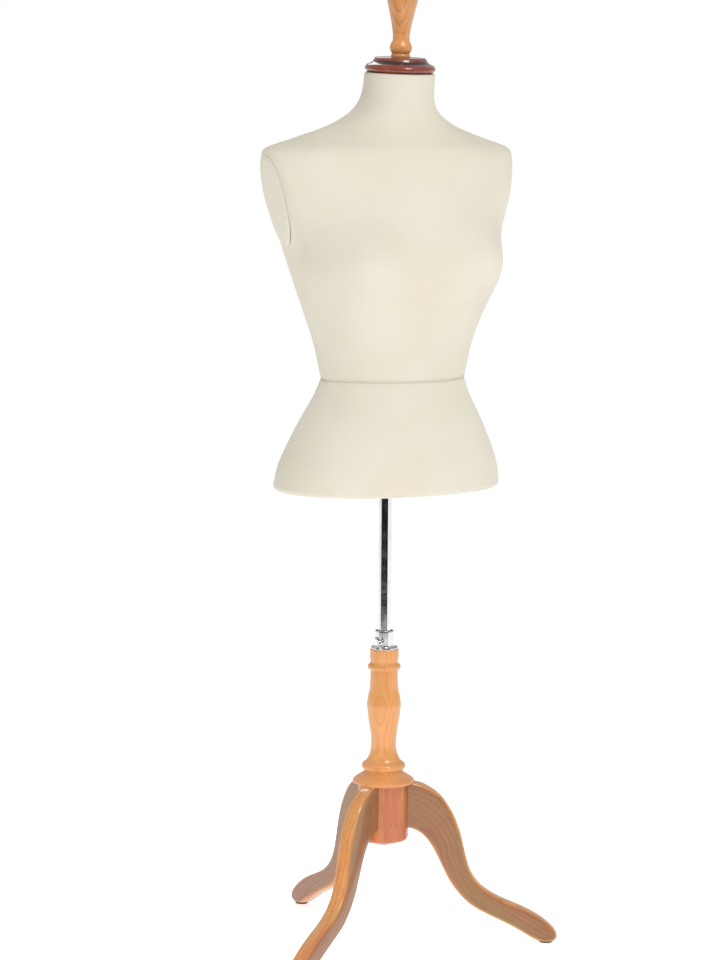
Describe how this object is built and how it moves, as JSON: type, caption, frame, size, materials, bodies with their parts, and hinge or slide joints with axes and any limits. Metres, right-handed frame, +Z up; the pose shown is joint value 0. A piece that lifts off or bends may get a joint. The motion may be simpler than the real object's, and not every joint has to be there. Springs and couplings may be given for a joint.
{
  "type": "dress form mannequin",
  "caption": "Jersey-covered headless torso on a chromed height-adjustable pole, with a turned wooden column, curved tripod legs, neck cap and finial.",
  "frame": {"origin": "centre of the whole form's footprint, on the floor", "axes": "+Z up, -Y the way the form faces, +X to the form's left"},
  "size_m": [0.469, 0.4202, 1.4787],
  "materials": {
    "turned_wood": "satin varnish",
    "red_wood": "gloss varnish",
    "pale_wood": "raw",
    "jersey": "fine knit",
    "moulded_shell": "moulded, matt",
    "chrome": "polished",
    "steel": "zinc plated",
    "brass": "turned",
    "nylon": "moulded",
    "felt": "pressed felt"
  },
  "bodies": {
    "base": {"column": "turned_wood", "hub": "turned_wood", "leg_back": "turned_wood", "leg_left": "turned_wood", "leg_right": "turned_wood", "dowel_back_lower": "pale_wood", "dowel_back_upper": "pale_wood", "dowel_left_lower": "pale_wood", "dowel_left_upper": "pale_wood", "dowel_right_lower": "pale_wood", "dowel_right_upper": "pale_wood", "foot_pad_back": "felt", "foot_pad_left": "felt", "foot_pad_right": "felt", "hub_washer": "steel", "hub_bolt": "steel", "pole_sleeve": "steel", "clamp_collar": "chrome", "guide_bush": "nylon", "collar_screw_1": "steel", "collar_screw_2": "steel", "collar_screw_3": "steel"},
    "clamp_pad": {"clamp_pad": "brass"},
    "clamp_screw": {"clamp_screw": "chrome"},
    "pole": {"pole": "chrome", "pole_bottom_plug": "nylon", "pole_top_plug": "nylon"},
    "torso": {"base_board": "pale_wood", "pole_socket": "steel", "socket_screw_1": "steel", "socket_screw_2": "steel", "socket_screw_3": "steel", "socket_screw_4": "steel", "shell_front": "moulded_shell", "shell_back": "moulded_shell", "jersey_bodice": "jersey", "jersey_skirt": "jersey", "arm_plate_left": "jersey", "arm_plate_right": "jersey", "neck_block": "pale_wood", "neck_cap": "red_wood", "finial": "turned_wood", "finial_stud": "steel"}
  },
  "joints": [
    {"name": "height_slide", "type": "slide", "parent": "base", "child": "pole", "axis": [0, 0, 1], "range_m": [-0.09, 0.105]},
    {"name": "torso_swivel", "type": "hinge", "parent": "pole", "child": "torso", "pos_m": [-0.00646, -0.0569, 0.75], "axis": [0, 0, 1], "continuous": true},
    {"name": "clamp_travel", "type": "slide", "parent": "base", "child": "clamp_pad", "axis": [-0.7071, -0.7071, 0], "range_m": [0, 0.0015]},
    {"name": "wing_screw_turn", "type": "hinge", "parent": "clamp_pad", "child": "clamp_screw", "pos_m": [-0.0206, -0.07104, 0.467], "axis": [-0.7071, -0.7071, 0], "range_deg": [0, 540]}
  ],
  "couplings": [
    {"joint": "wing_screw_turn", "follows": "clamp_travel", "rad_per_m": 6283.2}
  ]
}
